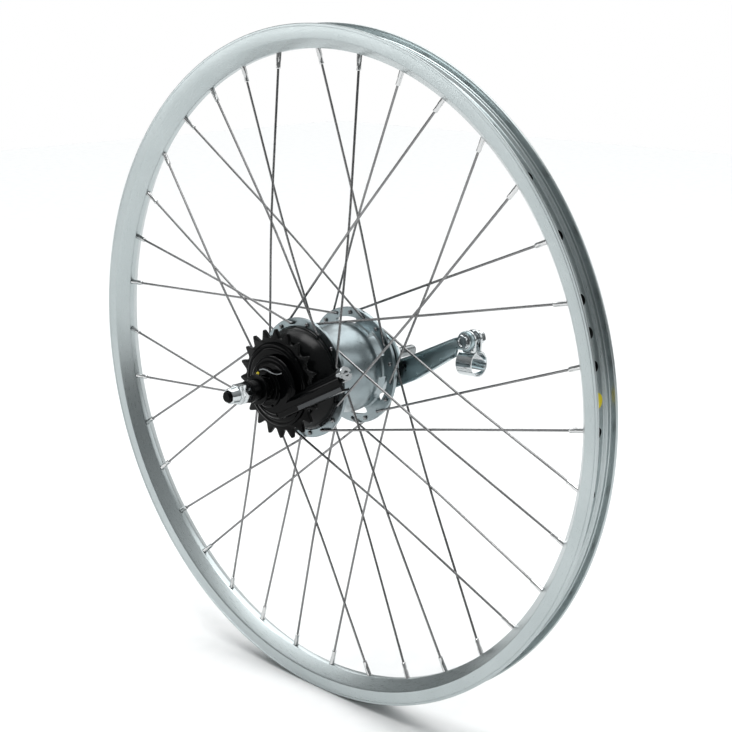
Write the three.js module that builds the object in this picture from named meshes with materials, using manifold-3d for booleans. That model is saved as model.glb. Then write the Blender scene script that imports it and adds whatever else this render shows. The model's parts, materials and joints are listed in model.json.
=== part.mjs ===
// Rear bicycle wheel built on a geared hub with a shift joint and a coaster brake arm. Millimetres.
// The wheel axis is Y: -Y is the sprocket side, +Y the brake side, +X forward, +Z up.
// The origin is the middle of the axle, which is also the centre of the rim.
import * as THREE from "three";
import { mergeVertices } from "three/addons/utils/BufferGeometryUtils.js";
import Module from "manifold-3d";

const wasm = await Module();
wasm.setup();

// ---- driving dimensions ----
const GAP = 0.3; // clearance between pieces that touch in use
const SIMPLIFY = 0.004; // edges shorter than this are merged after the cuts and joins
const AXLE = { radius: 4.75, half: 109.5, flat: 4.2, flatStart: 62 };
const BORE = AXLE.radius + 0.45;

const RIM = { outer: 285.5, halfWidth: 12.5, seat: 279.5, bed: 276.8, apex: 265.6, wall: 1.4 };
const RIM_SEGMENTS = 72;
const RIM_HOLES = { nipple: 2.8, valve: 4.3, valveAngle: 16.2 };
const SPOKES = { count: 36, radius: 1, phase: 1.2, cross: 60, weave: 0.85, crossing: 0.438, rise: 1.9 };
const HEAD = { radius: 1.9, length: 1.5 };
const NIPPLE = { radius: 1.9, below: 13, above: 4.4 };

const FLANGE = { radius: 50.3, holeCircle: 46.3, holeRadius: 1.45 };
const DRIVE_FLANGE = { outer: -27, inner: -24 };
const BRAKE_FLANGE = { inner: 31, outer: 34.5 };
const WINDOW = { count: 6, first: -81, span: 36, low: 36.5, high: 42.5 };

const TEETH = { sunLarge: 12, sunSmall: 9, planetSmall: 9, planetLarge: 12, ring: 30 };
const CARRIER_RADIUS = 18;
const GEAR_MODULE = (2 * CARRIER_RADIUS) / (TEETH.sunLarge + TEETH.planetSmall);
const PLANETS = 3;
const STAGE_A = [-18, -8]; // fixed sun, small planet steps and ring gear
const STAGE_B = [-6, 4]; // free sun and large planet steps

const SPROCKET = { teeth: 20, root: 38.2, tip: 45.6, bore: 17.3, y: [-54.4, -51.4], phase: 3 };
const ARM_BOLT = { x: 103, z: 33.6, end: 8 };
const ARM_LOWER = [[10, -28.3], [52.7, -7.4], [92, 18]]; // corners of the brake arm's lower edge
const ARM_UPPER = [[20, 0.5], [48.4, 12.9], [94.6, 35.2]]; // and of its upper edge
const CLIP = { x: 103.5, y: 66.5, z: 13.9, outer: 10.8, inner: 9.3, length: 16.4, tilt: -3 };
const CLIP_EARS = { near: 62, far: 69, thick: 2 };
const JOINT_ARM_ANGLE = 28;
const JOINT = { x: 5, radius: 26.5, wall: 2.4 }; // the cover of the shift joint sits off the axle's middle
const CABLE_STOP = { from: [43, 4], to: [84, 25.6], y: -59.4, cap: 5.9, barrel: 4.4 };

// ---- colours and finishes ----
const finish = (color, roughness, metalness) => ({ color, roughness, metalness });
const FINISHES = {
  rim: finish(0xc9ced0, 0.35, 1),
  spoke: finish(0xb4b8ba, 0.3, 1),
  shell: finish(0x9fa9ae, 0.22, 1),
  chrome: finish(0xd6dbdd, 0.12, 1),
  steel: finish(0x8b8f92, 0.4, 1),
  black_steel: finish(0x1b1d1f, 0.35, 0.8),
  black_plastic: finish(0x141516, 0.35, 0),
  brake_steel: finish(0x28363c, 0.35, 0.9),
};

// ---- solids ----
const radians = THREE.MathUtils.degToRad;
const polar = (radius, degrees) => [
  radius * Math.cos(radians(degrees)),
  radius * Math.sin(radians(degrees)),
];

// The point at a radius and an angle round the wheel axis (from +X towards +Z), at a given y.
function at(radius, degrees, y) {
  const [x, z] = polar(radius, degrees);
  return [x, y, z];
}

// A closed geometry as a manifold solid with its faces pointing out.
function solid(geometry) {
  const bare = geometry.index ? geometry.toNonIndexed() : geometry.clone();
  bare.deleteAttribute("normal");
  bare.deleteAttribute("uv");
  const merged = mergeVertices(bare, 1e-4);
  const corner = merged.index.array;
  const kept = [];
  for (let i = 0; i < corner.length; i += 3) {
    const [a, b, c] = [corner[i], corner[i + 1], corner[i + 2]];
    if (a !== b && b !== c && c !== a) kept.push([a, b, c]);
  }
  const build = (faces) =>
    new wasm.Manifold(
      new wasm.Mesh({
        numProp: 3,
        vertProperties: new Float32Array(merged.attributes.position.array),
        triVerts: new Uint32Array(faces.flat()),
      }),
    );
  const made = build(kept);
  return made.volume() > 0 ? made : build(kept.map(([a, b, c]) => [a, c, b]));
}

function geometryOf(shape) {
  const mesh = shape.simplify(SIMPLIFY).getMesh();
  const geometry = new THREE.BufferGeometry();
  const stride = mesh.numProp;
  const count = mesh.vertProperties.length / stride;
  const position = new Float32Array(count * 3);
  for (let i = 0; i < count; i++)
    for (let axis = 0; axis < 3; axis++)
      position[3 * i + axis] = mesh.vertProperties[stride * i + axis];
  geometry.setAttribute("position", new THREE.BufferAttribute(position, 3));
  geometry.setIndex([...mesh.triVerts]);
  const faceted = geometry.toNonIndexed();
  faceted.computeVertexNormals();
  return faceted;
}

const union = (first, ...others) => others.reduce((sum, next) => sum.add(next), first);
const cut = (first, ...others) => others.reduce((rest, next) => rest.subtract(next), first);

// A body of revolution about the wheel axis from a closed outline of [radius, y] points.
function turned(outline, segments = 32, startDegrees = 0) {
  const points = [...outline, outline[0]].map(([r, y]) => new THREE.Vector2(r, y));
  const geometry = new THREE.LatheGeometry(points, segments, Math.PI / 2);
  return solid(geometry.rotateY(-radians(startDegrees)));
}

const tube = (inner, outer, y0, y1, segments) =>
  turned([[inner, y0], [outer, y0], [outer, y1], [inner, y1]], segments);

// A ring of round section, used where a bearing holds its caged balls.
function ballRing(radius, y, section, segments = 18) {
  const outline = [];
  for (let i = 0; i < 6; i++) {
    const [dr, dy] = polar(section, 60 * i);
    outline.push([radius + dr, y + dy]);
  }
  return turned(outline, segments);
}

// A plate from an outline of [x, z] points, or a THREE.Shape in x and z, between two y values.
function plate(outline, y0, y1, holes = [], curveSegments = 12) {
  const path = (points) => new THREE.Path(points.map(([x, z]) => new THREE.Vector2(x, z)));
  const shape = outline instanceof THREE.Shape ? outline : new THREE.Shape(path(outline).getPoints());
  shape.holes.push(...holes.map((hole) => (hole instanceof THREE.Path ? hole : path(hole))));
  const geometry = new THREE.ExtrudeGeometry(shape, {
    depth: y1 - y0,
    bevelEnabled: false,
    curveSegments,
  });
  return solid(geometry.rotateX(Math.PI / 2).translate(0, y1, 0));
}

function polygon(radius, sides, startDegrees = 0, cx = 0, cz = 0) {
  const points = [];
  for (let i = 0; i < sides; i++) {
    const [x, z] = polar(radius, startDegrees + (360 * i) / sides);
    points.push([cx + x, cz + z]);
  }
  return points;
}

const hexagon = (acrossFlats) => polygon(acrossFlats / Math.sqrt(3), 6);

// A straight rod between two points.
function rod(from, to, radius, sides = 6, endRadius = radius) {
  const start = new THREE.Vector3(...from);
  const end = new THREE.Vector3(...to);
  const direction = end.clone().sub(start);
  const geometry = new THREE.CylinderGeometry(endRadius, radius, direction.length(), sides);
  const turn = new THREE.Quaternion().setFromUnitVectors(
    new THREE.Vector3(0, 1, 0),
    direction.clone().normalize(),
  );
  geometry.applyQuaternion(turn);
  geometry.translate(...start.add(end).multiplyScalar(0.5).toArray());
  return solid(geometry);
}

function box(x, y, z) {
  const geometry = new THREE.BoxGeometry(x[1] - x[0], y[1] - y[0], z[1] - z[0]);
  return solid(geometry.translate((x[0] + x[1]) / 2, (y[0] + y[1]) / 2, (z[0] + z[1]) / 2));
}

// The outline of a toothed wheel: each tooth is a trapezoid centred on phase + k * pitch.
function toothed(teeth, rootRadius, tipRadius, phase, rootShare = 0.3, tipShare = 0.1) {
  const pitch = 360 / teeth;
  const points = [];
  for (let k = 0; k < teeth; k++) {
    const centre = phase + k * pitch;
    points.push(polar(rootRadius, centre - rootShare * pitch));
    points.push(polar(tipRadius, centre - tipShare * pitch));
    points.push(polar(tipRadius, centre + tipShare * pitch));
    points.push(polar(rootRadius, centre + rootShare * pitch));
  }
  return points;
}

function gear(teeth, phase) {
  const pitchRadius = (GEAR_MODULE * teeth) / 2;
  return toothed(teeth, pitchRadius - GEAR_MODULE, pitchRadius + 0.7 * GEAR_MODULE, phase);
}

// ---- axle and the parts that stay still ----
function buildAxle() {
  const bar = rod([0, -AXLE.half, 0], [0, AXLE.half, 0], AXLE.radius, 16);
  const cutters = [];
  for (const side of [-1, 1])
    for (const face of [-1, 1]) {
      const y = [side * AXLE.flatStart, side * (AXLE.half + 1)].sort((a, b) => a - b);
      const z = [face * AXLE.flat, face * 2 * AXLE.flat].sort((a, b) => a - b);
      cutters.push(box([-6, 6], y, z));
    }
  return cut(bar, ...cutters);
}

// Cap nut: a collar next to the washer, a hexagon, and a cone at the outer end, along -Y.
function buildCapNut({ collar, hex, cone, end }) {
  const body = plate(hexagon(15), cone, hex + 0.1);
  const ring = tube(BORE - 0.1, 9.2, hex, collar, 16);
  const tip = rod([0, cone + 0.5, 0], [0, end, 0], 7.2, 16, 6.2);
  const bore = rod([0, collar + 1, 0], [0, end - 1, 0], BORE, 16);
  return cut(union(ring, body, tip), bore);
}

// Non-turn washer: a disc with a tab that sits in the frame's slot and a bore that fits the flats.
function buildNonTurnWasher(y0, y1, tabSide) {
  const flat = AXLE.flat + GAP;
  const half = Math.sqrt(BORE * BORE - flat * flat);
  const bore = new THREE.Path();
  bore.moveTo(half, -flat);
  bore.absarc(0, 0, BORE, -Math.asin(flat / BORE), Math.asin(flat / BORE), false);
  bore.lineTo(-half, flat);
  bore.absarc(0, 0, BORE, Math.PI - Math.asin(flat / BORE), Math.PI + Math.asin(flat / BORE), false);
  bore.closePath();
  const disc = plate(polygon(12.5, 18), y0, y1, [bore], 4);
  const tabY = [y1, y1 + 2.2, y0 - 2.2, y0].slice(tabSide > 0 ? 0 : 2, tabSide > 0 ? 2 : 4);
  const reach = tabSide > 0 ? [tabY[0] - 0.5, tabY[1]] : [tabY[0], tabY[1] + 0.5];
  return union(disc, box([10.2, 12.2], reach, [-2.6, 2.6]));
}

const buildHexNut = (acrossFlats, y0, y1) => plate(hexagon(acrossFlats), y0, y1, [polygon(BORE, 16)]);

function buildShiftBracket() {
  const [bottomStart, bottomEnd, topEnd, topStart] = [[12, -26.4], [86, 16.5], [80.5, 27.5], [16, 1.5]];
  const disc = plate(polygon(JOINT.radius, 30, 0, JOINT.x, 0), -66, -63.6);
  const wall = tube(JOINT.radius - JOINT.wall, JOINT.radius, -64, -59, 30).translate([JOINT.x, 0, 0]);
  const arm = plate([bottomStart, bottomEnd, topEnd, topStart], -66, -63.6);
  const rib = plate([bottomStart, bottomEnd, [85, 19], [11, -24]], -64, -58.2);
  const mouth = box([0, 40], [-63.5, -50], [-8, 40]);
  const { from, to, y, cap } = CABLE_STOP;
  const seat = rod([from[0] - 6, y, from[1] - 3], [to[0] + 4, y, to[1] + 2], cap + GAP, 14);
  return cut(union(disc, cut(wall, mouth), arm, rib), rod([0, -70, 0], [0, -50, 0], 10.3, 20), seat);
}

// Pulley that the cable turns inside the bracket, with a lug that the cable's end hooks into.
function buildPulley() {
  const lug = box([12.5, 18.2], [-60.4, -59.3], [-2.5, 2.5]).rotate([0, -200, 0]);
  return union(tube(12, 18.5, -63.2, -60.2, 24), lug);
}

function buildLockRing() {
  const notches = [];
  for (let k = 0; k < 6; k++) notches.push(box([15.2, 18], [-70, -60], [-1.5, 1.5]).rotate([0, 60 * k, 0]));
  return cut(tube(10.4, 16.8, -67.6, -66 - GAP, 24), ...notches);
}

// Barrel that holds the end of the shift cable's housing, lying along the bracket's arm.
function buildCableStop() {
  const { from, to, y, cap, barrel } = CABLE_STOP;
  const along = (share) => [from[0] + (to[0] - from[0]) * share, y, from[1] + (to[1] - from[1]) * share];
  const slot = box([-3, 8], [-70, -50], [-0.9, 0.9]).rotate([0, -JOINT_ARM_ANGLE, 0]);
  return cut(
    union(rod(along(0), along(0.88), barrel, 10), rod(along(0.87), along(1), cap, 14)),
    rod(along(-0.2), along(1.2), 2.4, 6),
    slot.translate([to[0], 0, to[1]]),
  );
}

// The arm's outline: its lower edge steps in above the clip, and its end is round about the bolt.
function armOutline() {
  const end = polygon(ARM_BOLT.end, 24, -100, ARM_BOLT.x, ARM_BOLT.z).slice(0, 17);
  return [...ARM_LOWER, [94, 25.2], ...end, ...ARM_UPPER.slice().reverse()];
}

function buildBrakeArm() {
  const face = plate(armOutline(), 58.5, 61.5);
  const hub = plate(polygon(30, 30), 57.2, 61.5);
  // A lip stands on one edge of the face; its outer side is a little proud of the edge.
  const lip = (corners, inward) => {
    const run = corners.map(([x, z]) => new THREE.Vector2(x, z));
    const shift = (distance) => run.map((point, i) => {
      const before = run[Math.max(i - 1, 0)];
      const after = run[Math.min(i + 1, run.length - 1)];
      const normal = after.clone().sub(before).normalize().rotateAround(new THREE.Vector2(), Math.PI / 2);
      return point.clone().addScaledVector(normal, distance * inward).toArray();
    });
    return plate([...shift(-0.3), ...shift(1.7).reverse()], 53.4, 58.8);
  };
  const lower = lip([[30, -18.5], ...ARM_LOWER.slice(1)], 1);
  const upper = lip([[34, 6.6], ...ARM_UPPER.slice(1)], -1);
  const boltHole = plate(polygon(3.4, 12, 0, ARM_BOLT.x, ARM_BOLT.z), 50, 70);
  return cut(
    union(face, hub, lower, upper),
    rod([0, 50, 0], [0, 70, 0], BORE, 24),
    boltHole,
  );
}

function buildClipBolt() {
  const { x, z } = ARM_BOLT;
  const head = plate(polygon(5.8, 6, 0, x, z), 54.2, 58.2);
  return union(head, rod([x, 58, z], [x, 80.5, z], 2.9, 12));
}

// Flanged nut outside the clip's far ear.
function buildClipNut() {
  const { x, z } = ARM_BOLT;
  const flange = plate(polygon(6.9, 20, 0, x, z), 71.3, 73);
  const hex = plate(polygon(5.8, 6, 15, x, z), 72.8, 78.8);
  return cut(union(flange, hex), plate(polygon(3.3, 12, 0, x, z), 70, 80));
}

// Sleeve between the clip's ears.
function buildClipSpacer() {
  const { x, z } = ARM_BOLT;
  const y = [CLIP_EARS.near + CLIP_EARS.thick + GAP, CLIP_EARS.far - GAP];
  return plate(polygon(5.6, 20, 0, x, z), ...y, [polygon(3.3, 12, 0, x, z)]);
}

// Strap that wraps the chain stay; its two ears take the bolt.
function buildArmClip() {
  const band = tube(CLIP.inner, CLIP.outer, -CLIP.length / 2, CLIP.length / 2, 20);
  const strap = band.rotate([0, 0, 90]).rotate([0, CLIP.tilt, 0]).translate([CLIP.x, CLIP.y, CLIP.z]);
  const ear = (y) => {
    const top = polygon(8, 16, 0, ARM_BOLT.x, ARM_BOLT.z).slice(0, 9);
    const outline = [[ARM_BOLT.x + 7.4, CLIP.z + 4], ...top, [ARM_BOLT.x - 5.5, CLIP.z + 4]];
    return plate(outline, y, y + CLIP_EARS.thick);
  };
  const tilted = rod(
    [CLIP.x - 25, CLIP.y, CLIP.z + 25 * Math.tan(radians(CLIP.tilt))],
    [CLIP.x + 25, CLIP.y, CLIP.z - 25 * Math.tan(radians(CLIP.tilt))],
    CLIP.inner,
    20,
  );
  const between = [CLIP_EARS.near + CLIP_EARS.thick + 0.1, CLIP_EARS.far - 0.1];
  const slot = box([60, 130], between, [CLIP.z + 2, ARM_BOLT.z]);
  const hole = plate(polygon(3.3, 12, 0, ARM_BOLT.x, ARM_BOLT.z), 60, 95);
  return cut(union(strap, ear(CLIP_EARS.near), ear(CLIP_EARS.far)), tilted, slot, hole);
}

// ---- parts that turn with the sprocket ----
function buildDriver() {
  return turned(
    [
      [12.5, -58.6], [16.9, -58.6], [16.9, -58.2], [15.7, -58.2], [15.7, -57.4], [16.9, -57.4],
      [16.9, -26], [24, -26], [24, -22.3], [7, -22.3], [7, -44], [12.5, -44],
    ],
    24,
  );
}

function buildSprocket() {
  const { teeth, root, tip, bore, y, phase } = SPROCKET;
  const outline = [];
  const pitch = 360 / teeth;
  for (let k = 0; k < teeth; k++) {
    const centre = phase + k * pitch;
    outline.push(polar(root, centre - 0.4 * pitch));
    outline.push(polar(root + 2, centre - 0.26 * pitch));
    outline.push(polar(tip, centre));
    outline.push(polar(root + 2, centre + 0.26 * pitch));
    outline.push(polar(root, centre + 0.4 * pitch));
  }
  return plate(outline, ...y, [polygon(bore, 24)]);
}

function buildSnapRing() {
  const ring = tube(16, 19.4, -58.1, -57.5, 20);
  return cut(ring, box([10, 25], [-60, -50], [-3, 3]));
}

const buildDustCover = () =>
  turned([[17.5, -56.4], [30, -57.2], [35, -56.4], [35, -54.7], [17.5, -54.7]], 30);

function buildCarrier() {
  const discs = [[-22, -19], [6, 9]].map(([y0, y1]) => tube(7.2, 24, y0, y1, 18));
  const pins = [];
  for (let k = 0; k < PLANETS; k++) {
    const [x, z] = polar(CARRIER_RADIUS, (360 * k) / PLANETS);
    pins.push(rod([x, -21, z], [x, 8, z], 2.5, 8));
  }
  return union(...discs, ...pins);
}

// Stepped planet: the small step runs on the fixed sun and the ring, the large step on the free sun.
function buildPlanet(index) {
  const [x, z] = polar(CARRIER_RADIUS, (360 * index) / PLANETS);
  const small = plate(gear(TEETH.planetSmall, 0), STAGE_A[0], STAGE_B[0] + 0.5);
  const large = plate(gear(TEETH.planetLarge, 180 / TEETH.planetLarge), ...STAGE_B);
  const bore = plate(polygon(2.9, 8), STAGE_A[0] - 1, STAGE_B[1] + 1);
  return cut(union(small, large), bore).translate([x, 0, z]);
}

const buildSun = (teeth, [y0, y1]) => plate(gear(teeth, 0), y0, y1, [polygon(BORE, 12)]);

function buildRingGear() {
  const pitchRadius = (GEAR_MODULE * TEETH.ring) / 2;
  const inner = toothed(
    TEETH.ring,
    pitchRadius + GEAR_MODULE,
    pitchRadius - 0.6 * GEAR_MODULE,
    180 / TEETH.ring,
  );
  return plate(polygon(31, 30), ...STAGE_A, [inner]);
}

// ---- shell, bearings and brake ----
function buildShell() {
  const body = turned(
    [
      [34.8, -27], [FLANGE.radius, -27], [FLANGE.radius, -24], [43.5, -24], [38.6, -19],
      [36.2, -6], [36.2, 8], [38, 17], [38, 24], [37.2, 31], [FLANGE.radius, 31],
      [FLANGE.radius, 34.5], [36, 34.5], [30.5, 44], [30.5, 50], [21, 50], [21, 41],
      [32.8, 31], [32.8, 10.5], [31.4, 10.5], [31.4, -19.5], [34.8, -19.5],
    ],
    36,
    SPOKES.phase + 5,
  );
  const holes = [];
  for (let k = 0; k < SPOKES.count / 2; k++) {
    const pitch = 720 / SPOKES.count;
    const drive = polar(FLANGE.holeCircle, SPOKES.phase + pitch * k);
    const brake = polar(FLANGE.holeCircle, SPOKES.phase + pitch * (k + 0.5));
    holes.push(rod([drive[0], -30, drive[1]], [drive[0], -22, drive[1]], FLANGE.holeRadius, 6));
    holes.push(rod([brake[0], 28, brake[1]], [brake[0], 38, brake[1]], FLANGE.holeRadius, 6));
  }
  const windowPitch = 360 / WINDOW.count;
  for (let k = 0; k < WINDOW.count; k++) holes.push(buildWindowCutter(WINDOW.first + windowPitch * k));
  return cut(body, ...holes);
}

// A window's prism: an arc-shaped slot with rounded ends.
function buildWindowCutter(centre) {
  const half = WINDOW.span / 2;
  const points = [];
  for (const share of [-0.85, 0, 0.85]) points.push(polar(WINDOW.high, centre + share * half));
  points.push(polar((WINDOW.high + WINDOW.low) / 2, centre + half));
  for (const share of [0.8, 0, -0.8]) points.push(polar(WINDOW.low, centre + share * half));
  points.push(polar((WINDOW.high + WINDOW.low) / 2, centre - half));
  return plate(points, 26, 37.5);
}

const buildBallCup = () =>
  turned(
    [
      [43.8, -27.3], [43.8, -30.5], [38, -40], [22, -48.5], [17.6, -48.5], [17.6, -46],
      [21.5, -46], [36, -38], [39.5, -30], [32, -30], [32, -19.8], [34.5, -19.8], [34.5, -27.3],
    ],
    36,
  );

const buildDriveCone = () =>
  turned([[BORE, -58], [11.2, -58], [11.2, -52], [8, -46], [BORE, -46]], 20);

const buildBrakeCone = () =>
  turned([[BORE, 34], [9, 34], [14.5, 42], [14.5, 56.9], [BORE, 56.9]], 20);

const buildBrakeDustCap = () =>
  turned([[15, 50.3], [30.5, 50.3], [29.5, 53.5], [24, 55.6], [15, 55.6]], 30);

const buildExpander = () => turned([[BORE, 12.4], [11.6, 12.4], [14.5, 30], [BORE, 30]], 16);

function buildShoe(centre) {
  const [inner, outer, half] = [16.8, 31.6, 53];
  const points = [];
  for (let i = -4; i <= 4; i++) points.push(polar(outer, centre + (half * i) / 4));
  for (let i = 3; i >= -3; i--) points.push(polar(inner, centre + (half * i) / 3));
  return plate(points, 12, 29);
}

// ---- rim and spokes ----
function buildRim() {
  const { outer, halfWidth: w, seat, bed, apex, wall } = RIM;
  const mirrored = (half) => [...half, ...half.map(([r, y]) => [r, -y]).reverse()];
  const section = mirrored([
    [apex, 2.4], [273.9, w], [outer, w], [outer, w - 1.8], [seat, w - 1.6], [seat, 8], [bed, 6.4],
  ]);
  const cavity = mirrored([
    [apex + wall, 2.2], [274.4, w - 1.8], [seat - wall, w - 1.8], [seat - wall, 8], [bed - wall, 5.8],
  ]);
  const facetStart = SPOKES.phase + 180 / RIM_SEGMENTS;
  const [body, hollow] = [section, cavity].map((outline) => turned(outline, RIM_SEGMENTS, facetStart));
  const holes = [];
  for (let k = 0; k < SPOKES.count; k++) {
    const angle = SPOKES.phase + (360 * k) / SPOKES.count;
    holes.push(rod(at(apex - 2, angle, 0), at(bed + 4, angle, 0), RIM_HOLES.nipple, 6));
  }
  const [inside, outside] = [apex - 2, bed + 4].map((radius) => at(radius, RIM_HOLES.valveAngle, 0));
  holes.push(rod(inside, outside, RIM_HOLES.valve, 10));
  return cut(body, hollow, ...holes);
}

// A bent wire's middle line: straight between its stations, with the section mitred at each bend.
class Wire extends THREE.Curve {
  constructor(stations) {
    super();
    this.stations = stations.map((point) => new THREE.Vector3(...point));
  }

  getPointAt(u, target = new THREE.Vector3()) {
    const last = this.stations.length - 1;
    const index = Math.min(Math.floor(u * last + 1e-9), last - 1);
    return target.lerpVectors(this.stations[index], this.stations[index + 1], u * last - index);
  }

  getTangentAt(u, target = new THREE.Vector3()) {
    const last = this.stations.length - 1;
    const index = Math.round(u * last);
    target.set(0, 0, 0);
    for (const start of [index - 1, index]) {
      if (start < 0 || start >= last) continue;
      target.add(this.stations[start + 1].clone().sub(this.stations[start]).normalize());
    }
    return target.normalize();
  }
}

function wire(stations, radius, sides = 5) {
  const section = new THREE.Shape(
    polygon(radius, sides, 90 / sides).map(([x, y]) => new THREE.Vector2(x, y)),
  );
  const options = { steps: stations.length - 1, extrudePath: new Wire(stations) };
  return solid(new THREE.ExtrudeGeometry(section, options));
}

// One spoke with its head, elbow, shaft and nipple. Side is -1 for the sprocket side and 1 for the
// brake side; lean is the way the rim end is turned from the flange hole. The shaft leaves the hole at
// y = shaft, the head rests at y = head, and otherShaft is where its partner leaves the flange.
function buildSpoke(side, lean, rimAngle, { shaft, head, otherShaft }) {
  const hole = (y) => at(FLANGE.holeCircle, rimAngle - lean * SPOKES.cross, y);
  const rimPoint = new THREE.Vector3(...at(RIM.apex, rimAngle, 0));
  const outboard = Math.abs(shaft) > Math.abs(otherShaft);
  const crossing = new THREE.Vector3(...hole((shaft + otherShaft) / 2)).lerp(rimPoint, SPOKES.crossing);
  crossing.y -= side * SPOKES.weave * (outboard ? 1 : -1);
  const direction = rimPoint.clone().sub(crossing).normalize();
  const along = (distance) => direction.clone().multiplyScalar(distance).add(rimPoint).toArray();
  const headEnd = head + Math.sign(head - shaft) * HEAD.length;
  const stations = [hole((head + headEnd) / 2), hole(shaft), crossing.toArray(), along(1 - NIPPLE.below)];
  return union(
    wire(stations, SPOKES.radius),
    rod(hole(headEnd), hole(head), HEAD.radius),
    rod(along(-NIPPLE.below), along(NIPPLE.above), NIPPLE.radius),
  );
}

// Two spokes of one flange that lace over each other at their outermost crossing.
function buildSpokePair(side, index) {
  const pitch = 1440 / SPOKES.count;
  const clear = SPOKES.radius + 0.35;
  const rise = clear + SPOKES.rise;
  if (side < 0) {
    const angle = SPOKES.phase + pitch * index;
    const [outboard, inboard] = [DRIVE_FLANGE.outer - rise, DRIVE_FLANGE.inner + clear];
    return union(
      buildSpoke(-1, 1, angle, { shaft: outboard, head: DRIVE_FLANGE.inner + GAP, otherShaft: inboard }),
      buildSpoke(-1, -1, angle - pitch / 2, {
        shaft: inboard,
        head: DRIVE_FLANGE.outer - GAP,
        otherShaft: outboard,
      }),
    );
  }
  const angle = SPOKES.phase + pitch * (index + 0.25);
  const [inboard, outboard] = [BRAKE_FLANGE.inner - clear, BRAKE_FLANGE.outer + rise];
  return union(
    buildSpoke(1, 1, angle, { shaft: inboard, head: BRAKE_FLANGE.outer + GAP, otherShaft: outboard }),
    buildSpoke(1, -1, angle - pitch / 2, {
      shaft: outboard,
      head: BRAKE_FLANGE.inner - GAP,
      otherShaft: inboard,
    }),
  );
}

// ---- the assembly ----
const wheel = new THREE.Group();

function add(name, shape, finishName) {
  const material = new THREE.MeshStandardMaterial(FINISHES[finishName]);
  const mesh = new THREE.Mesh(geometryOf(shape), material);
  mesh.name = name;
  wheel.add(mesh);
}

add("axle", buildAxle(), "black_steel");
add("sun_gear_fixed", buildSun(TEETH.sunLarge, STAGE_A), "steel");
add("drive_cone", buildDriveCone(), "steel");
add("drive_locknut", buildHexNut(17, -67.6, -58.3), "black_steel");
add("shift_bracket", buildShiftBracket(), "black_plastic");
add("shift_lock_ring", buildLockRing(), "black_steel");
add("cable_stop", buildCableStop(), "chrome");
add("drive_nonturn_washer", buildNonTurnWasher(-78, -75.5, 1), "black_steel");
add("drive_cap_nut", buildCapNut({ collar: -78.3, hex: -88, cone: -99.5, end: -107 }), "chrome");
add("brake_cone", buildBrakeCone(), "steel");
add("brake_arm", buildBrakeArm(), "brake_steel");
add("brake_arm_locknut", buildHexNut(17, 61.8, 67.6), "steel");
add("brake_nonturn_washer", buildNonTurnWasher(75.5, 78, -1), "black_steel");
add("brake_axle_nut", buildHexNut(15, 78.3, 86.3), "chrome");
add("clip_bolt", buildClipBolt(), "chrome");
add("clip_spacer", buildClipSpacer(), "chrome");
add("clip_nut", buildClipNut(), "chrome");
add("shift_pulley", buildPulley(), "black_plastic");
add("arm_clip", buildArmClip(), "chrome");

add("driver", buildDriver(), "black_steel");
add("sprocket", buildSprocket(), "black_steel");
add("sprocket_snap_ring", buildSnapRing(), "steel");
add("sprocket_dust_cover", buildDustCover(), "black_plastic");
add("driver_ball_ring", ballRing(10.9, -47.4, 1), "steel");
add("planet_carrier", buildCarrier(), "steel");
for (let k = 0; k < PLANETS; k++) add(`planet_gear_${k + 1}`, buildPlanet(k), "steel");
add("sun_gear_free", buildSun(TEETH.sunSmall, STAGE_B), "steel");

add("hub_shell", buildShell(), "shell");
add("drive_ball_cup", buildBallCup(), "black_plastic");
add("ring_gear", buildRingGear(), "steel");
add("brake_ball_ring", ballRing(18, 44.5, 2.2), "steel");
add("brake_dust_cap", buildBrakeDustCap(), "black_steel");
add("brake_expander", buildExpander(), "steel");
for (let k = 0; k < 3; k++) add(`brake_shoe_${k + 1}`, buildShoe(90 + 120 * k), "steel");

add("rim", buildRim(), "rim");
for (let k = 0; k < SPOKES.count / 4; k++) {
  add(`spoke_pair_drive_${k + 1}`, buildSpokePair(-1, k), "spoke");
  add(`spoke_pair_brake_${k + 1}`, buildSpokePair(1, k), "spoke");
}

export default wheel;
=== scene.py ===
import json
import math

import bmesh
import bpy
from mathutils import Matrix, Vector


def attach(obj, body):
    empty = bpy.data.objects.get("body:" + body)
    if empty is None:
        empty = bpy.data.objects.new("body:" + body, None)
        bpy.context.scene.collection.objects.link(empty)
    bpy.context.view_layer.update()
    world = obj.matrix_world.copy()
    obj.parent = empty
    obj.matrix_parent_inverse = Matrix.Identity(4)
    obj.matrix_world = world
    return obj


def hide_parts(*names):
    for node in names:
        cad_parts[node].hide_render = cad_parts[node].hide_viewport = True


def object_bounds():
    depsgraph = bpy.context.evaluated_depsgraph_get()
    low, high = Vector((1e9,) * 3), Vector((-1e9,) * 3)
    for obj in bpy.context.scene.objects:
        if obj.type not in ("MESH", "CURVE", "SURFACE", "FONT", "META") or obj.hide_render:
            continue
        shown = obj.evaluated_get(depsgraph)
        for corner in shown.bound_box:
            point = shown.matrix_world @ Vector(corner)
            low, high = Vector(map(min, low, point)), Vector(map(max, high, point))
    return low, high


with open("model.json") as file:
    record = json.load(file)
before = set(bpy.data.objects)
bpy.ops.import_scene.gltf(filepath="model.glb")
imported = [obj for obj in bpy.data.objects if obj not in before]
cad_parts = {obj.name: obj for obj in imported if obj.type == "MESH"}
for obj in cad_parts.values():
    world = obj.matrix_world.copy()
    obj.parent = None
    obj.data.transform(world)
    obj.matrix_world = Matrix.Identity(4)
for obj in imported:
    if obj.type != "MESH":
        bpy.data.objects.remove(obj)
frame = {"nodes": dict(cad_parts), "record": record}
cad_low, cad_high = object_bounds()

# All shape dimensions are millimetres; MM turns them into Blender's metres.
# The wheel axis is Y, with the sprocket side at -Y; angles run from +X towards +Z.
MM = 0.001

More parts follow.
